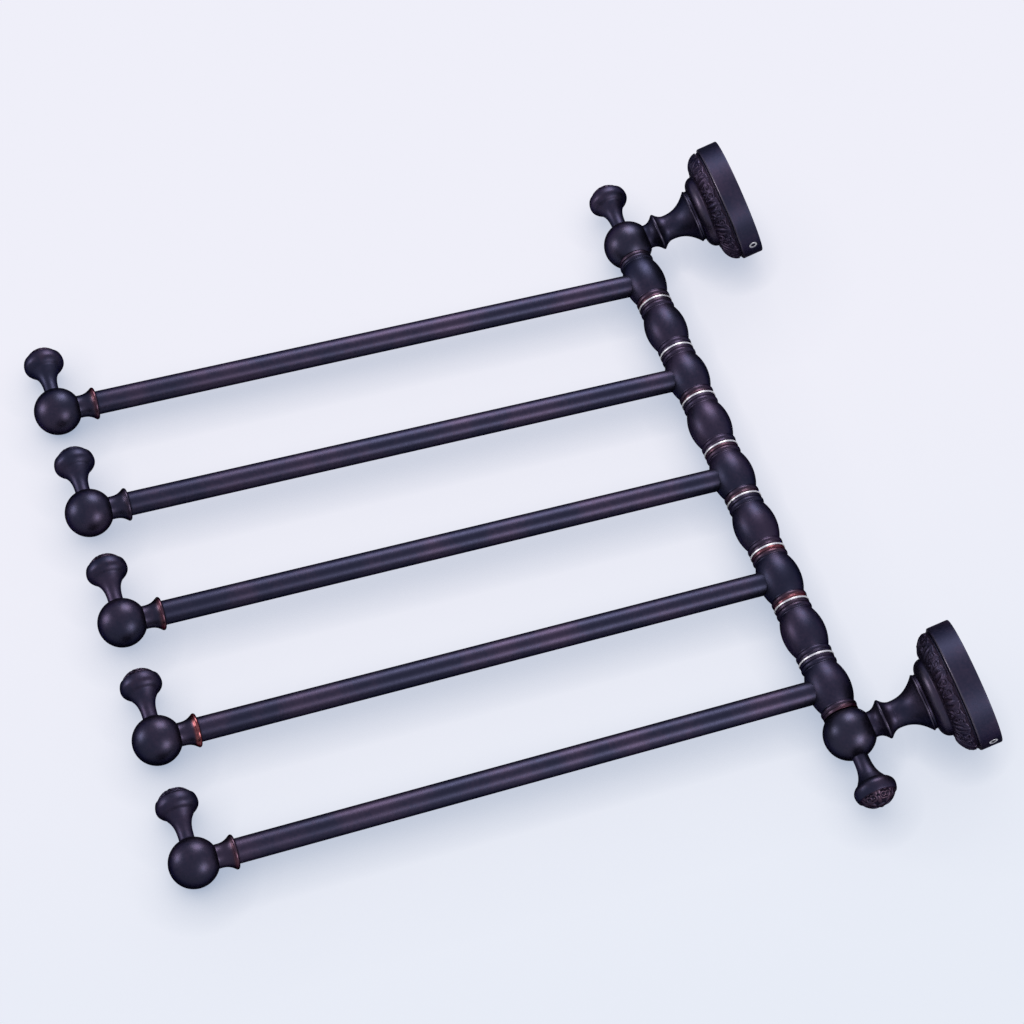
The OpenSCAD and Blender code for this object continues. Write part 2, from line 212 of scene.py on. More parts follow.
# %% Bronze
def bronze(name, plum, rough, lift, edge=0.07):
    """Patina with copper where it is worn. `plum` says how far it leans to plum, with 0.5 for even,
    `lift` brightens its two tones, and `edge` is how bright the metal is when seen edge-on. The
    least rubbing polishes it, and more makes it paler, which on some edges is a painted highlight."""
    f = Finish(bpy.data.materials.new(name))
    clouds = f.noise(38, 2.5)
    specks = f.noise(620, 3)
    grain = f.noise(2600, 2)
    uneven = specks - 0.5
    hollow = f.attribute("hollow")
    worn = f.attribute("wear")
    # below 0 the patina is painted paler and smoother: rubbing on the balls, a painted highlight line on rims,
    # crests and post rings
    rubbed = (hollow * -1).clipped()
    polish = (rubbed * 40).clipped() * 0.055

    tone = f.ramp(clouds * 0.75 + specks * 0.25 + (plum - 0.5) * 0.35, 0.36, 0.64)
    blue, plum_tone = (tuple(lift * c for c in dark) for dark in (blue_black, plum_black))
    patina = f.mix(hollow * 0.7, f.mix(tone, blue, plum_tone), hollow_black)
    thinned = f.ramp(worn + uneven * 0.2, 0.04, 0.5) * 0.7
    bare = f.ramp(worn + uneven * 0.12 + (clouds - 0.5) * 0.3, 0.34, 1.0)
    copper = f.mix(f.ramp(specks * 0.6 + worn * 0.2, 0.28, 0.85), deep_copper, pale_copper)
    colour = f.mix(bare, f.mix(thinned, patina, thin_patina), copper)

    sockets = {
        "Base Color": f.mix(rubbed, colour, rubbed_and_highlight_bronze),
        "Roughness": rough + uneven * 0.16 + (grain - 0.5) * 0.10 - worn * 0.2 + hollow * 0.15 - polish,
        "Metallic": 1.0,
        "Specular Tint": (edge, edge, edge + 0.07, 1),
        "Normal": f.bump(specks * 0.6 + grain * 0.4, 0.000035),
    }
    return f.surface(f.node("ShaderNodeBsdfPrincipled", inputs=sockets))


bronzes = {
    "bronze_turned": dict(plum=0.42, rough=0.43, lift=1.12),
    "bronze_tube": dict(plum=0.4, rough=0.42, lift=1.2, edge=0.14),
    "bronze_carved": dict(plum=0.3, rough=0.47, lift=1.3),
    "bronze_finial": dict(plum=0.4, rough=0.44, lift=1.18),
}
finishes = {name: bronze(name, **looks) for name, looks in bronzes.items()}
print("bronze finishes:", sorted(finishes))

# %% [markdown]
# ## Bright steel
# The washers are plain turned rings, and the screws and wall plates are plated steel that nobody
# looks at. All are metal with a fine uneven grain, and they differ in how bright and how smooth
# they are.


# %% Steel
def steel(name, colour, rough):
    """Metal that noise dulls a little in places."""
    f = Finish(bpy.data.materials.new(name))
    fine = f.noise(900, 4)
    broad = f.noise(70, 2)
    dulled = tuple(0.78 * c for c in colour)
    sockets = {
        "Base Color": f.mix(f.ramp(fine * 0.6 + broad * 0.4, 0.35, 0.65), dulled, colour),
        "Roughness": rough + (fine - 0.5) * 0.1,
        "Metallic": 1.0,
        "Normal": f.bump(fine, 0.000008),
    }
    return f.surface(f.node("ShaderNodeBsdfPrincipled", inputs=sockets))


steels = {
    "washer_steel": dict(colour=(0.50, 0.50, 0.56), rough=0.42),
    "screw_steel": dict(colour=(0.36, 0.36, 0.41), rough=0.36),
    "plate_steel": dict(colour=(0.34, 0.34, 0.36), rough=0.42),
    "spindle_steel": dict(colour=(0.60, 0.60, 0.62), rough=0.3),
}
finishes.update({name: steel(name, **looks) for name, looks in steels.items()})
for node, piece in frame["nodes"].items():
    piece.data.materials.clear()
    piece.data.materials.append(finishes[slot_of[node]])
print("finishes:", len(finishes))

# %% [markdown]
# ## Turning
# A lathe profile is a list of points, each a radius and a height along the axis. Sharp corners
# catch no light, so `soften` rounds each with a short curve first. `turn` then carries the profile
# round its axis as one array of points. Where an end lies on the axis it becomes a single point, and
# the end is closed with triangles. A relief, if there is one, moves points along the profile's
# normal, and the mesh keeps how worn and how hollow each point is.

# %% Profiles
mm = 0.001  # metres


def soften(profile, size, steps):
    """Rounds each inner corner with a quadratic curve between points `size` before and after it, or
    0.45 of the way to the next corner where that is nearer."""
    p = np.asarray(profile, float)
    before, corner, after = p[:-2], p[1:-1], p[2:]
    ends = []
    for side in (before - corner, after - corner):
        length = np.linalg.norm(side, axis=1, keepdims=True) + 1e-9
        ends.append(corner + side / length * np.minimum(size, 0.45 * length))
    t = np.linspace(0, 1, steps)[None, :, None]
    curve = (1 - t) ** 2 * ends[0][:, None] + 2 * t * (1 - t) * corner[:, None] + t**2 * ends[1][:, None]
    return np.vstack([p[:1], curve.reshape(-1, 2), p[-1:]])


def densify(profile, pitch):
    """Adds points so that none are further apart than the pitch."""
    p = np.asarray(profile, float)
    length = np.concatenate([[0], np.cumsum(np.hypot(*np.diff(p, axis=0).T))])
    extra = np.arange(0, length[-1], pitch)
    at = np.unique(np.round(np.concatenate([length, extra]), 5))
    return np.column_stack([np.interp(at, length, p[:, 0]), np.interp(at, length, p[:, 1])])


def flare(slim, wide, power, steps=14):
    """Leaves the slim point along the axis and widens to the wide one: width grows as t to a power."""
    t = np.linspace(0, 1, steps)
    return np.column_stack([slim[0] + (wide[0] - slim[0]) * t**power, slim[1] + (wide[1] - slim[1]) * t])


def quarter(flat, steep, steps):
    """A quarter of an ellipse, square to the axis at `flat` and along it at `steep`."""
    a = np.linspace(0, np.pi / 2, steps)
    radius = flat[0] + (steep[0] - flat[0]) * np.sin(a)
    return np.column_stack([radius, flat[1] + (steep[1] - flat[1]) * (1 - np.cos(a))])


def half_round(radius, rise, start, end):
    """A round ring that stands on a cylinder between two heights."""
    a = np.linspace(0, np.pi, 12)
    return np.column_stack([radius + rise * np.sin(a), start + (end - start) * (1 - np.cos(a)) / 2])


print("profile helpers ready")


# %% Fading
def near(distance, reach):
    """1 where the distance is 0, falling evenly to 0 at the reach."""
    return np.clip(1 - np.abs(distance) / reach, 0, 1)


def past(value, start, run):
    """0 up to the start, rising evenly to 1 a run later."""
    return np.clip((value - start) / run, 0, 1)


print("fading helpers ready")


# %% Points into a mesh
def lay(name, points, worn, hollow, poles, closed):
    """Puts a grid of points into a mesh: quads between its rings, and a fan where a ring is a pole."""
    rings, around = points.shape[:2]
    number = np.arange(rings * around).reshape(rings, around)
    rows = np.vstack([number, number[:1]]) if closed else number
    beside = np.roll(rows, -1, 1)
    start = int(poles[0])
    end = rows.shape[0] - 1 - int(poles[1])
    quads = np.stack([rows[:-1], beside[:-1], beside[1:], rows[1:]], -1)[start:end].reshape(-1, 4)
    fans = [np.zeros((0, 3), int)]
    if poles[0]:
        fans.append(np.stack([np.full(around, number[0, 0]), beside[1], rows[1]], -1))
    if poles[1]:
        fans.append(np.stack([rows[-2], beside[-2], np.full(around, number[-1, 0])], -1))
    tris = np.vstack(fans)
    used = np.unique(np.concatenate([quads.ravel(), tris.ravel()]))
    renumber = np.zeros(rings * around, int)
    renumber[used] = np.arange(len(used))
    corners = renumber[np.concatenate([quads.ravel(), tris.ravel()])]
    sizes = np.concatenate([np.full(len(quads), 4), np.full(len(tris), 3)])
    starts = np.concatenate([[0], np.cumsum(sizes)[:-1]])
    mesh = bpy.data.meshes.new(name)
    mesh.vertices.add(len(used))
    mesh.vertices.foreach_set("co", (points.reshape(-1, 3)[used] * mm).ravel().astype(np.float32))
    mesh.loops.add(len(corners))
    mesh.loops.foreach_set("vertex_index", corners.astype(np.int32))
    mesh.polygons.add(len(sizes))
    mesh.polygons.foreach_set("loop_start", starts.astype(np.int32))
    mesh.polygons.foreach_set("use_smooth", np.ones(len(sizes), bool))
    mesh.update(calc_edges=True)
    mesh.validate()
    for label, values in (("wear", worn), ("hollow", hollow)):
        layer = mesh.attributes.new(label, "FLOAT", "POINT")
        layer.data.foreach_set("value", values.ravel()[used].astype(np.float32))
    piece = bpy.data.objects.new(name, mesh)
    bpy.context.scene.collection.objects.link(piece)
    return piece


print("mesh helper ready")


# %% Standing in
def stand_in_for(piece, node):
    """The piece takes over the look of a CAD node: its body, its slot and its finish."""
    piece.data.materials.append(finishes[slot_of[node]])
    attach(piece, body_of[node])
    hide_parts(node)
    return piece


print("new pieces can stand in for", len(slot_of), "CAD nodes")


# %% Turned surfaces
def even(count):
    """Angles evenly spaced round an axis."""
    return np.arange(count) * 2 * np.pi / count


def turn(name, profile, origin, axis, angles, relief=None, wear=None, closed=False, side=None):
    """P = origin + height * axis + radius * (cos t * side + sin t * (axis x side)), in millimetres.
    relief(radius, height, angle) says how far each point moves along the profile's normal, and how
    hollow it is: 1 in a hollow, below 0 where it is rubbed bright, which on some edges is also a
    painted highlight. wear(...) gives the wear."""
    p = np.asarray(profile, float)
    axis = np.asarray(axis, float) / np.linalg.norm(axis)
    if side is None:
        side = np.array([0, 0, 1.0]) if abs(axis[2]) < 0.9 else np.array([1.0, 0, 0])
    side = side - axis * side.dot(axis)
    side /= np.linalg.norm(side)
    poles = [not closed and p[i, 0] < 1e-6 for i in (0, -1)]
    slope = (np.roll(p, -1, 0) - np.roll(p, 1, 0)) / 2 if closed else np.gradient(p, axis=0)
    slope /= np.linalg.norm(slope, axis=1, keepdims=True) + 1e-12
    normal = np.column_stack([slope[:, 1], -slope[:, 0]])
    radius, height = (np.repeat(p[:, i : i + 1], len(angles), 1) for i in (0, 1))
    angle = np.broadcast_to(angles, radius.shape)
    worn = np.zeros(radius.shape) if wear is None else wear(radius, height, angle)
    hollow = np.zeros(radius.shape)
    if relief is not None:
        lift, hollow = relief(radius, height, angle)
        radius = radius + lift * normal[:, :1]
        height = height + lift * normal[:, 1:]
    ring = np.cos(angle)[..., None] * side + np.sin(angle)[..., None] * np.cross(axis, side)
    points = np.asarray(origin, float) + height[..., None] * axis + radius[..., None] * ring
    return lay(name, points, worn, hollow, poles, closed)


print("turning helpers ready")

# %% [markdown]
# ## Where everything stands
# The joints say where the spindle is and how high each arm sits. The upper flange's box says how
# high the upper stack ball is, and the boxes of the arms' finials say which way each arm points at
# rest, so nothing has to be guessed.

# %% Places
swings = [j for j in frame["joints"] if j["name"].startswith("arm_")]
arms = len(swings)
spindle = np.array(swings[0]["pos_m"][:2]) / mm
heights = [j["pos_m"][2] / mm for j in swings]
pitch = heights[0] - heights[1]
up = np.array([0, 0, 1.0])


def middle(node):
    """The middle of a CAD node's box, in millimetres."""
    low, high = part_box(node)
    return np.array((low + high) / 2) / mm


ball_height = middle("upper_flange")[2]
ends = [middle(f"arm_finial_{k}")[:2] for k in range(1, arms + 1)]
ways = [np.append((e - spindle) / np.linalg.norm(e - spindle), 0) for e in ends]
reach = float(np.linalg.norm(ends[0] - spindle))
print("arms at", [round(h, 1) for h in heights])
print("arms reach", round(reach, 1), "and the upper stack ball is at", round(ball_height, 1))

# %% [markdown]
# ## Hubs, beads and washers
# A hub and a bead share one profile: a barrel with a groove, a round ring and a plain land at each
# end. The lands rub on the washers, so copper shows there. It never wears evenly round the ring or
# from hub to hub. A wear function of the angle gives each one a side where it is brightest.

# %% Stack profile
barrel = dict(radius=11.2, groove=8.7, ring=9.4, land=9.1, half=15.5)


def barrel_profile():
    """Half is a circular arc, a groove, a half round and a land. The other half is its mirror."""
    radius, groove, half = barrel["radius"], barrel["groove"], barrel["half"]
    arc_end, ring_start, land_start = half - 4.7, half - 4.2, half - 1.6
    drop = radius - groove
    arc_radius = (arc_end**2 + drop**2) / (2 * drop)
    z = np.linspace(0, arc_end, 22)[1:]
    arc = np.column_stack([radius - arc_radius + np.sqrt(arc_radius**2 - z**2), z])
    ring = half_round(groove, barrel["ring"] - groove, ring_start, land_start)
    land = [[barrel["land"], land_start], [barrel["land"], half], [0, half]]
    upper = np.vstack([arc, ring, land])
    lower = upper[::-1] * [1, -1]
    return soften(np.vstack([lower, [[radius, 0]], upper]), 0.16, 3)


def end_wear(low, high, facing):
    """Copper on the land and ring of the lower and the upper end, brightest at the facing angle."""

    def wear(radius, height, angle):
        close = near(barrel["half"] - np.abs(height), 4.6) ** 0.6
        amount = np.where(height < 0, low, high)
        return close * amount * (0.72 + 0.28 * np.cos(angle - facing))

    return wear


print("barrels", 2 * barrel["radius"], "mm wide and", 2 * barrel["half"], "mm high")

# %% Hubs and beads
# How worn the lower and the upper end of each is, from the top of the stack down.
hub_wear = [(0.56, 0.42), (0.51, 0.22), (0.56, 0.50), (0.82, 0.79), (0.59, 0.25)]
bead_wear = [(0.15, 0.3), (0.2, 0.15), (0.35, 0.2), (0.2, 0.4)]
worn_side = 0.0  # towards +X, the side of the stack that hands reach most
hub_turn = 0.5  # radians from one hub's brightest side to the next one's
for k, height in enumerate(heights):
    wear = end_wear(*hub_wear[k], worn_side + hub_turn * (k - 2))
    made = turn(f"turned_hub_{k + 1}", barrel_profile(), [*spindle, height], up, even(72), wear=wear)
    stand_in_for(made, f"hub_{k + 1}")
for k, height in enumerate(heights[:-1]):
    wear = end_wear(*bead_wear[k], worn_side)
    place = [*spindle, height - pitch / 2]
    made = turn(f"turned_bead_{k + 1}", barrel_profile(), place, up, even(72), wear=wear)
    stand_in_for(made, f"bead_{k + 1}")
print(arms, "hubs and", arms - 1, "beads,", len(made.data.polygons), "faces each")

# %% Washers
washers = 2 * (arms - 1)
for k in range(washers):
    node = f"washer_{k + 1}"
    low, high = (np.array(corner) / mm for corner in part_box(node))
    outer = (high[0] - low[0]) / 2
    thick = high[2] - low[2]
    profile = soften([[0, 0], [outer, 0], [outer, thick], [0, thick]], 0.22, 5)
    made = turn(f"bright_washer_{k + 1}", profile, [*spindle, low[2]], up, even(96))
    stand_in_for(made, node)
print(washers, "washers of", round(2 * outer, 2), "mm")

# %% [markdown]
# ## Arms
# An arm is a drawn tube that runs from its hub to a cast end: a thin collar, a hollow neck and a
# ball. The collar is the sharpest edge on the rack, so it is worn to copper all round. Hands take
# hold of the ball, so its patina is polished, which makes its highlights crisper.

# %% Arm profiles
tube_radius, ball_radius, neck_radius, collar_radius = 6.0, 12.0, 5.7, 8.3
neck_start = reach - math.sqrt(ball_radius**2 - neck_radius**2) - 1.2
collar_front = neck_start - 6
collar_back = collar_front - 2.2
tube_start = 8.0
tube_end = collar_back + 0.4


def arm_tube_profile():
    """A plain cylinder, closed at both ends, that reaches just inside the hub and the collar."""
    out = [[0, tube_start], [tube_radius, tube_start], [tube_radius, tube_end], [0, tube_end]]
    return densify(soften(out, 0.3, 3), 12)


def arm_end_profile():
    """Collar, hollow neck, then the ball as an arc that ends on the axis."""
    a = np.radians(np.linspace(0, 145, 12))
    collar_middle = (collar_back + collar_front) / 2
    collar = np.column_stack([collar_radius - 1.2 + 1.2 * np.sin(a), collar_middle - 1.1 * np.cos(a)])
    neck = flare((neck_radius, neck_start), (collar_radius - 0.5, collar_front - 0.1), 2.5)[::-1]
    a = np.linspace(math.asin(neck_radius / ball_radius), math.pi, 40)
    ball = np.column_stack([ball_radius * np.sin(a), reach - ball_radius * np.cos(a)])
    ball[-1, 0] = 0
    return soften(np.vstack([[[0, collar_back]], collar, neck, ball]), 0.12, 3)


print("tubes", round(tube_end - tube_start, 1), "mm long")

# %% Tubes and arm ends
collar_wear = [0.745, 0.35, 0.85, 1.3, 0.51]  # from the top arm down
collar_turn = 0.8  # radians from one collar's brightest side to the next one's


def collar_copper(amount, facing):
    """Copper on the collar's edge, a little brighter at the facing angle."""

    def wear(radius, height, angle):
        close = near(height - collar_front + 0.7, 2.8) ** 0.5
        edge = past(radius, 6.2, 1.4)
        return close * edge * amount * (0.85 + 0.15 * np.cos(angle - facing))

    return wear


def handled(amount):
    """No relief, and rubbed by the same small amount all over."""
    return lambda radius, height, angle: (0 * radius, 0 * radius - amount)


for k, height in enumerate(heights):
    place = [*spindle, height]
    made = turn(f"drawn_tube_{k + 1}", arm_tube_profile(), place, ways[k], even(64))
    stand_in_for(made, f"arm_tube_{k + 1}")
    copper = collar_copper(collar_wear[k], collar_turn * k)
    profile = arm_end_profile()
    made = turn(f"ball_end_{k + 1}", profile, place, ways[k], even(72), handled(0.02), copper)
    stand_in_for(made, f"arm_end_{k + 1}")
print(arms, "arms with ball centres", round(reach, 1), "mm out")

# %% [markdown]
# ## Carving with strokes
# The carving is ordinary leaf and scroll work, as on any cast ornament. It is drawn flat first,
# with strokes. A stroke is a run of points, each with a half width and a height. Its relief at a
# place is a rounded ridge across the nearest point of the run. The tallest stroke wins, so that
# strokes cross like overlapping leaves. Drawn once in a small cell and folded about its middle, the
# pattern then repeats round a dome.


# %% Strokes
def spiral(centre, radius, turns, start, shrink=0.16):
    """A scroll: the radius shrinks evenly, to a share of itself, as the angle winds in."""
    t = np.linspace(0, 1, 46)
    r = radius * (1 - (1 - shrink) * t)
    a = start + 2 * np.pi * turns * t
    return np.column_stack([centre[0] + r * np.cos(a), centre[1] + r * np.sin(a)]), t


def bend(a, b, bow):
    """A run from a to b that bows sideways by a share of its length."""
    a, b = np.asarray(a, float), np.asarray(b, float)
    t = np.linspace(0, 1, 24)
    sideways = np.array([a[1] - b[1], b[0] - a[0]])
    return a + (b - a) * t[:, None] + sideways * (bow * np.sin(np.pi * t))[:, None], t


def leaf(run, width, height):
    """Thin at its stalk, full before its tip and level all along."""
    points, t = run
    half = width * np.sin(np.pi * np.clip(t, 0.02, 0.98) ** 0.75) ** 0.8
    return points, half, np.full(len(t), height)


def scroll(run, width, height):
    """Narrows to 0.55 of its width and sinks to 0.8 of its height as it winds in."""
    points, t = run
    return points, width * (1 - 0.45 * t), np.full(len(t), height) * (1 - 0.2 * t)


def dot(u, v, radius, height):
    """A stroke of one point."""
    return np.array([[u, v]], float), np.array([radius]), np.array([height])


def carve(u, v, strokes):
    """The tallest ridge at each place. u and v are in millimetres, with u folded to be positive."""
    lift = np.zeros(u.shape)
    for points, half_width, height in strokes:
        du = u[..., None] - points[:, 0]
        dv = v[..., None] - points[:, 1]
        share = np.sqrt(du**2 + dv**2) / np.maximum(half_width, 0.05)
        ridge = np.sqrt(np.clip(1 - share**2, 0, 1)) * height
        lift = np.maximum(lift, ridge.max(-1))
    return lift


print("stroke helpers ready")

# %% [markdown]
# ## Flanges
# A flange is a cup that stands on the wall: a plain band, a carved dome and a smooth tier that the
# post stands on. The dome's cell is one twelfth of the way round. It holds a leaf with side lobes,
# a scroll on each side of it and small beads between. The band has a shallow round seat for the
# grub screw, straight below.

# %% Flange pattern
flange_cells, cell_half, cell_tall = 12, 9.25, 15.2
flange_strokes = [
    leaf(bend((0, 1.2), (0, 13.4), 0), 1.7, 1.25),
    leaf(bend((0.8, 2.0), (3.6, 12.6), -0.14), 1.25, 1.0),
    leaf(bend((0.8, 1.4), (4.6, 7.2), -0.20), 1.1, 0.95),
    scroll(spiral((6.3, 5.0), 2.9, 1.55, 2.5), 0.86, 1.2),
    leaf(bend((4.4, 2.6), (9.3, 0.9), 0.16), 0.9, 0.95),
    leaf(bend((8.6, 6.6), (6.6, 13.0), 0.16), 1.0, 1.0),
    leaf(bend((cell_half, 1.2), (cell_half, 7.4), 0), 1.1, 1.0),
    dot(6.3, 5.0, 0.85, 1.35),
    dot(cell_half, 9.6, 1.05, 1.2),
    dot(2.3, 13.9, 0.6, 0.8),
    dot(cell_half, 13.2, 0.7, 0.8),
    dot(4.9, 10.2, 0.6, 0.8),
]


def folded(angle, cells):
    """How far an angle is from the middle of its cell, in radians and always positive."""
    cell = 2 * np.pi / cells
    return np.abs((angle + cell / 2) % cell - cell / 2)


print(len(flange_strokes), "strokes in each of", flange_cells, "cells")

# %% Flange profile
band_outer, band_top, step_radius = 32.3, 11.4, 30.3
dome_outer, dome_foot = 30.9, 12.0
tier_outer, dome_top = 20.5, 20.0
post_foot, front = 14.2, 25.4
cup_inner, wall = 30.1, 2.2
hole_radius, pocket_radius, shelf = 3.05, 6.5, 4


def flange_profile():
    """Once round the cup's wall: outside from the wall up to the tier, then back down inside,
    through the screw hole and its pocket. The band has rings of points for the grub screw's seat."""
    foot = [[band_outer - 0.3, 0], [band_outer, 0.3], [band_outer, band_top - 0.5]]
    step = [[band_outer - 0.5, band_top], [step_radius, band_top], [step_radius, dome_foot]]
    outside = soften(foot + step, 0.3, 3)
    band = densify([[band_outer, 0.7], [band_outer, 10.6]], 0.2)
    outside = np.vstack([outside[outside[:, 1] < 0.65], band, outside[outside[:, 1] > 10.65]])
    dome = quarter((tier_outer, dome_top), (dome_outer, dome_foot), 84)[::-1]
    tier = quarter((post_foot, front), (tier_outer - 0.3, dome_top + 0.2), 16)[::-1]
    hole = [[hole_radius, front], [hole_radius, front - shelf]]
    pocket = [[pocket_radius, front - shelf], [pocket_radius, dome_top - wall]]
    cup = quarter((tier_outer - wall, dome_top - wall), (cup_inner, 9.2), 16)
    return np.vstack([outside, dome, tier, hole, pocket, cup, [[cup_inner, 0]]])


print("flange profile of", len(flange_profile()), "points")

# %% Flange relief
seat_height, seat_radius, seat_deep = 4.6, 2.5, 0.55
far_off = 9  # radii from the seat, for the half of the band that faces away from it


def flange_relief(radius, height, angle):
    """Carving on the dome, and the grub screw's seat in the band at angle 0. The band's upper edge
    and the tier's crest are rubbed, which also paints a paler highlight line round each."""
    on_dome = (height > dome_foot - 0.01) & (height < dome_top + 0.01) & (radius > tier_outer - 0.01)
    climb = np.arccos(np.clip((radius - tier_outer) / (dome_outer - tier_outer), 0, 1))
    v = climb / (np.pi / 2) * cell_tall
    u = folded(angle, flange_cells) / (np.pi / flange_cells) * cell_half
    cut = carve(u, v, flange_strokes)
    edge = past(v, 0, 0.8) * past(cell_tall - v, 0, 0.8)
    lift = np.where(on_dome, (cut - 0.75) * 0.75 * edge, 0)
    hollow = np.where(on_dome, near(cut, 0.8) * edge, 0)
    on_band = (radius > band_outer - 0.3) & (height > 0.65) & (height < 10.7)
    sideways = np.where(np.cos(angle) > 0, np.sin(angle), far_off) * radius
    seat = past(seat_radius + 0.12 - np.hypot(sideways, height - seat_height), 0, 0.24)
    # painted highlight: a hollow below 0 paints the band's upper edge and the tier's crest paler, partly as
    # rubbing
    rim = near(np.hypot(radius - 32.1, height - 11.1), 0.75)
    crest = (height > dome_top + 0.3) * near(radius - 19.3, 1.2)
    return np.where(on_band, lift - seat_deep * seat, lift), hollow - 0.55 * rim - 0.16 * crest


def flange_wear(radius, height, angle):
    """A trace on the carving and the band, and more on the tallest beads."""
    lift = flange_relief(radius, height, angle)[0]
    return np.where(height > dome_foot, 0.18, 0.05) + 1.2 * np.clip(lift - 0.36, 0, 1)


print("seat for the grub screw", seat_deep, "mm deep")

# %% Both flanges
down = -up
out_of_wall = np.array([0, -1.0, 0])
crowding = 0.55  # draws the points towards angle 0, where the grub screw's seat needs them
flange_angles = even(520) - crowding * np.sin(even(520))
for name, sign in (("upper", 1), ("lower", -1)):
    made = turn(
        f"{name}_carved_flange",
        flange_profile(),
        [0, 0, sign * ball_height],
        out_of_wall,
        flange_angles,
        flange_relief,
        flange_wear,
        closed=True,
        side=down,
    )
    stand_in_for(made, f"{name}_flange")
print("flange faces:", len(made.data.polygons))

# %% [markdown]
# ## Posts and stack balls
# A post joins a flange to its ball: a wide ring, a waist, a thin ring and a cove. The ball is turned
# round, with a flat where the hub stands.

# %% Post profile
stack_ball, post_neck, waist_radius, ring_radius = 13.25, 6.65, 7.0, 10.1
post_long = -spindle[1] - front - math.sqrt(stack_ball**2 - post_neck**2) + 0.1
ring_back = post_long - 5.9
ring_front = ring_back - 1.6
waist = ring_front - 5.2


def post_profile():
    """From the flange to inside the ball."""
    wide_ring = post_foot + 0.4
    foot = [[0, 0], [post_foot, 0], [post_foot, 1.3], [wide_ring, 1.56], [wide_ring, 2.34]]
    bell = flare((waist_radius, waist), (post_foot - 0.1, 2.6), 2.35)[::-1]
    rise = flare((waist_radius, waist), (ring_radius - 0.4, ring_front), 2.3)
    ring = [[ring_radius, ring_front + 0.4], [ring_radius, ring_back - 0.4]]
    cove = flare((post_neck, post_long - 0.8), (ring_radius - 0.4, ring_back), 2.2)[::-1]
    tail = [[post_neck, post_long + 1], [0, post_long + 1]]
    return soften(np.vstack([foot, bell, rise, ring, cove, tail]), 0.22, 3)


def post_rub_and_highlight(radius, height, angle):
    """Nothing is raised, but the two rings are rubbed a little bright, which also paints a highlight
    line round each.
    """
    rings = near(height - 2.0, 0.9) + near(height - ring_front - 0.8, 0.9)
    # painted highlight: a hollow below 0 makes the two rings paler, partly as rubbing
    return 0 * radius, -0.16 * rings * past(radius, 9.5, 0.5)


print("posts", round(post_long, 1), "mm long")


# %% Posts and balls
def stack_ball_profile():
    """The flat that the hub touches, then the arc of a sphere that ends on the axis."""
    flat = heights[0] + barrel["half"] - ball_height
    a = np.linspace(math.acos(flat / stack_ball), 0, 44)
    sphere = np.column_stack([stack_ball * np.sin(a), stack_ball * np.cos(a)])
    sphere[-1, 0] = 0
    return soften(np.vstack([[[0, flat]], sphere]), 0.2, 3)


for name, sign in (("upper", 1), ("lower", -1)):
    place = [0, -front, sign * ball_height]
    made = turn(f"{name}_turned_post", post_profile(), place, out_of_wall, even(96), post_rub_and_highlight)
    stand_in_for(made, f"{name}_post")
    place = [*spindle, sign * ball_height]
    profile = stack_ball_profile()
    made = turn(f"{name}_stack_ball", profile, place, up * sign, even(80), handled(0.04))
    stand_in_for(made, f"{name}_ball")
print("stack ball faces:", len(made.data.polygons))

# %% [markdown]
# ## Finials
# Each finial is a slender stem that opens into a mushroom head. The head's dome is carved as a
# rosette: a button, a ring of scrolls and an outer ring of petals. The one below the stack shows its
# carving most, worn to copper on the ridges.

# %% Rosette
rosette_cells, rosette_radius = 6, 10.368
rosette_strokes = [
    leaf(bend((2.1, 0.0), (5.8, 0.0), 0), 0.95, 0.8),
    scroll(spiral((5.2, 2.1), 1.5, 1.25, 3.4, shrink=0.25), 0.5, 0.85),
    leaf(bend((6.2, 0.6), (9.2, 0.0), 0.15), 1.1, 0.75),
    leaf(bend((6.6, 3.4), (8.4, 4.6), 0.1), 1.0, 0.75),
    dot(3.4, 2.0, 0.55, 0.6),
    dot(7.5, 1.9, 0.6, 0.65),
]


def rosette(radius, angle):
    """Cell of the rosette folded about its middle line, in flat polar millimetres."""
    fold = folded(angle, rosette_cells)
    cut = carve(radius * np.cos(fold), radius * np.sin(fold), rosette_strokes)
    button = np.sqrt(np.clip(1 - (radius / 1.7) ** 2, 0, 1)) * 0.9
    return np.maximum(cut, button)


print(len(rosette_strokes), "strokes in each of", rosette_cells, "cells")

# %% Finial profile
head_under, head_over = 4.2, 9.0  # the head's heights below and above its widest place


def finial_profile(seat, stem_radius, stem_length, head_radius):
    """A stem that flares, then an arc of an ellipse that starts 40 degrees round, then a dome that
    steps in by half a millimetre where its carving starts."""
    shoulder = head_radius * 0.72
    widest = seat + stem_length + head_under
    stem = flare((stem_radius, seat + 1), (shoulder, seat + stem_length), 3, 20)
    lean = math.radians(40)
    middle_radius = (shoulder - head_radius * math.sin(lean)) / (1 - math.sin(lean))
    deep = head_under / math.cos(lean)
    a = np.linspace(lean, np.pi / 2, 12)[1:]
    under_radius = middle_radius + (head_radius - middle_radius) * np.sin(a)
    under = np.column_stack([under_radius, widest - deep * np.cos(a)])
    join = soften(np.vstack([stem[15:19:3], [stem[-1]], under[2:5:2]]), 1.4, 7)[1:-1]
    a = np.radians(np.linspace(4, 22.4, 8))
    over = np.column_stack([head_radius * np.cos(a), widest + head_over * np.sin(a)])
    a = np.radians(np.linspace(24, 90, 50))
    dome = np.column_stack([(head_radius - 0.5) * np.cos(a), widest + head_over * np.sin(a)])
    dome[-1, 0] = 0
    foot = [[0, seat - 0.6], [stem_radius, seat - 0.6]]
    head = soften(np.vstack([under[5:], over, dome]), 0.3, 4)
    return np.vstack([foot, stem[:16], join, head]), widest


print("finial heads", head_under + head_over, "mm high")

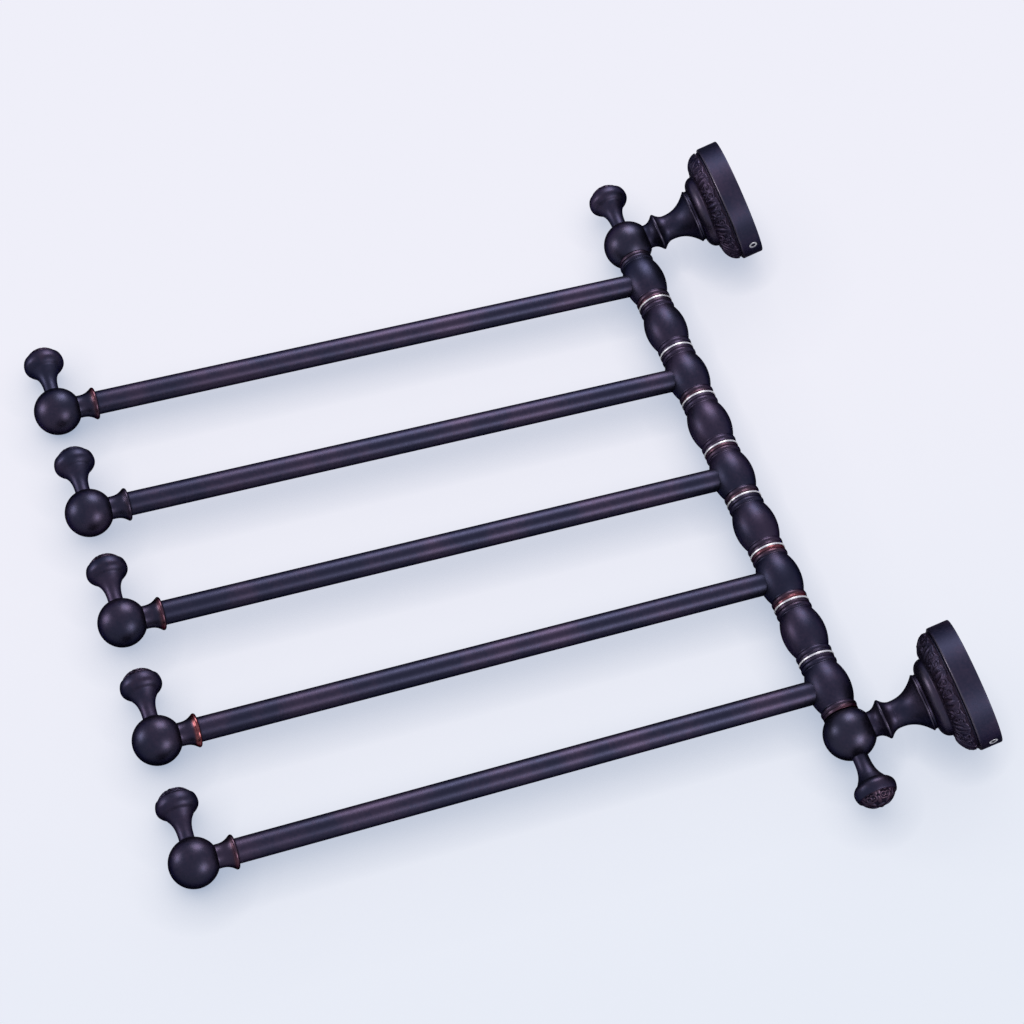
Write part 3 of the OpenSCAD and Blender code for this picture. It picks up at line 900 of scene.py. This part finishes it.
# %% Finials
# The seat is a little below the top of the ball that the finial stands on.
arm_sizes = dict(seat=ball_radius - 0.884, stem_radius=3.7, stem_length=14.0, head_radius=10.2)
stack_sizes = dict(seat=stack_ball - 0.919, stem_radius=4.0, stem_length=14.6, head_radius=10.7)
tip_wear = [0.28, 0.15, 0.36, 0.3, 0.12]  # from the top arm down
carved_from = 0.4  # the share of the dome's height where its carving starts


def finial(name, node, place, sign, sizes, worn):
    """Turns one finial, upright or hanging, with its rosette and the wear on it."""
    profile, widest = finial_profile(**sizes)

    def relief(radius, height, angle):
        """The rosette, laid over the dome by the angle from its top, which is worked out from how
        high a point is."""
        share = past(height, widest, head_over)
        spread = (1 - (2 / np.pi) * np.arcsin(share)) * rosette_radius
        inside = (share > carved_from) & (radius < sizes["head_radius"] - 0.45)
        cut = rosette(spread, angle)
        fade = past(share, carved_from, 0.06)
        lift = np.where(inside, (cut - 0.95) * 0.8 * fade, 0)
        return lift, np.where(inside, near(cut, 0.6) * fade, 0)

    def wear(radius, height, angle):
        """Copper on the rosette's ridges, and less on the dome's ledge and the widest place. At the
        widest place it is partly a painted highlight band.
        """
        hollow = relief(radius, height, angle)[1]
        share = past(height, widest, head_over)
        ridge = np.where(share > carved_from, np.clip(1 - hollow * 1.6, 0, 1), 0)
        ledge = near(share - 0.38, 0.06) * 0.3
        # painted highlight: a paler band round the widest place, partly wear
        shoulder = near(height - widest + 1, 3.5) * 0.5
        return np.maximum(np.maximum(ridge, ledge), shoulder) * worn

    made = turn(name, profile, place, up * sign, even(144), relief, wear)
    return stand_in_for(made, node)


for k, height in enumerate(heights):
    place = [*ends[k], height]
    finial(f"carved_finial_{k + 1}", f"arm_finial_{k + 1}", place, 1, arm_sizes, tip_wear[k])
finial("carved_top_finial", "top_finial", [*spindle, ball_height], 1, stack_sizes, 0.25)
place = [*spindle, -ball_height]
made = finial("carved_bottom_finial", "bottom_finial", place, -1, stack_sizes, 0.38)
print("finial faces:", len(made.data.polygons))

# %% [markdown]
# ## The floor
# The rack lies on a pale sheet that runs close behind its balls. The camera sees that sheet as a
# clear film over a pale backdrop. The film is painted darker where the rack stands close above it.
# This is a painted soft shadow, worked out from how much the rack covers over each point, leaning
# towards the lamps, and not cast by the lamps. An arm that swings below it still shows. For light
# and gloss it is plain matt paper. From behind it is clear, so that the rack's wall side can be seen.

# %% Floor
floor_away = 13.6
floor_half = 6000
along = ways[arms // 2]
floor_normal = np.array([-along[1], along[0], 0.0])
if floor_normal[0] < 0:
    floor_normal = -floor_normal
centre = np.array([*spindle, 0]) - floor_normal * floor_away
square = ((-1, -1), (1, -1), (1, 1), (-1, 1))
corners = [centre + floor_half * (s * along + t * up) for s, t in square]
mesh = bpy.data.meshes.new("floor")
mesh.from_pydata([tuple(corner * mm) for corner in corners], [], [(0, 1, 2, 3)])
mesh.update()
if np.dot(np.array(mesh.polygons[0].normal), floor_normal) < 0:
    mesh.flip_normals()
floor = bpy.data.objects.new("floor", mesh)
bpy.context.scene.collection.objects.link(floor)
print("floor lies", floor_away, "mm behind the spindle's axis")


# %% Paper
def paper(name, lamp_way):
    """To the camera a clear film, with a painted shadow where the rack is close above it. To the rays
    that look for a lamp, and to any from behind, it is clear. To the others it is matt paper."""
    f = Finish(bpy.data.materials.new(name))
    lean = 0.62  # how far the shade leans from straight above towards the lamps
    tilted = Vector(floor_normal).lerp(lamp_way, lean).normalized()
    way = f.node("ShaderNodeCombineXYZ", inputs=dict(enumerate(tilted)))

    def covered(within):
        """How much of the view towards the lamps the rack covers, within a distance in metres."""
        inputs = {"Distance": within, "Normal": way}
        return 1 - f.node("ShaderNodeAmbientOcclusion", dict(samples=12), inputs, output="AO")

    # painted shadow: the film is darkened by how much the rack covers, not by the lamps' own shadows
    shade = (covered(0.022) * 0.72 + covered(0.065) * 0.36).clipped()
    height = f.node("ShaderNodeSeparateXYZ", inputs={0: f.place()}, output="Z")
    # painted shade: the film is a little darker and cooler lower down the sheet
    film = f.mix(f.ramp(height, 0.10, -0.32), (1.0, 1.0, 1.0), (0.925, 0.970, 0.976))
    film = f.mix(shade, film, (0.36, 0.44, 0.54))
    clear = f.node("ShaderNodeBsdfTransparent", inputs={"Color": (1, 1, 1, 1)})
    tinted = f.node("ShaderNodeBsdfTransparent", inputs={"Color": film})
    matt = f.node("ShaderNodeBsdfDiffuse", inputs={"Color": (0.80, 0.82, 0.86, 1)})
    seen = f.choose(f.node("ShaderNodeLightPath", output="Is Camera Ray"), matt, tinted)
    lit = f.choose(f.node("ShaderNodeLightPath", output="Is Shadow Ray"), seen, clear)
    behind = f.node("ShaderNodeNewGeometry", output="Backfacing")
    return f.surface(f.choose(behind, lit, clear))


print("paper ready")

# %% [markdown]
# ## Light
# Three soft boxes light the rack: one beyond it, one on its left and one on its near right. Their
# reflections are the highlights on the balls. Two weak boxes serve the views from the front and from
# behind. A dim even sky fills the rest. The camera, and the metal too, see it as a pale backdrop.


# %% Lamps
rack_middle = Vector((0.03, -0.2, 0))
lamp_away = 1.3
warm_white = (1.0, 0.96, 0.88)


def lamp(name, way, size, power):
    """A square soft box at a direction given as right, up and towards the camera."""
    way = (across * way[0] + upward * way[1] - looking * way[2]).normalized()
    box_light = bpy.data.lights.new(name, "AREA")
    box_light.shape = "SQUARE"
    box_light.size = size
    box_light.energy = power
    box_light.color = warm_white
    made = bpy.data.objects.new(name, box_light)
    turned = way.to_track_quat("Z", "Y").to_matrix().to_4x4()
    made.matrix_world = Matrix.Translation(rack_middle + way * lamp_away) @ turned
    bpy.context.scene.collection.objects.link(made)
    return way


far_way = lamp("far_box", (0.10, 0.95, 0.16), 0.66, 16)
left_way = lamp("left_box", (-0.93, 0.19, 0.30), 0.46, 7)
lamp("right_box", (0.64, -0.32, 0.69), 0.5, 9)
lamp("front_fill", (-0.80, -0.43, -0.42), 0.8, 5)
lamp("rear_fill", (0.63, 0.19, -0.76), 0.8, 5)
floor.data.materials.append(paper("paper", (far_way + left_way * 0.7).normalized()))
print(len(bpy.data.lights), "lamps")

# %% Sky
sky = Finish(bpy.data.worlds.new("sky"), "ShaderNodeOutputWorld")
dim = sky.node("ShaderNodeBackground", inputs={"Color": (0.86, 0.90, 1.0, 1), "Strength": 0.30})
pale = {"Color": (0.863, 0.863, 0.947, 1), "Strength": 1.0}
backdrop = sky.node("ShaderNodeBackground", inputs=pale)
rays = ("Is Camera Ray", "Is Glossy Ray", "Is Transmission Ray")
looks = sum(sky.node("ShaderNodeLightPath", output=ray) for ray in rays).clipped()
bpy.context.scene.world = sky.surface(sky.choose(looks, dim, backdrop))
bpy.context.scene.view_settings.view_transform = "Standard"
print("sky ready")
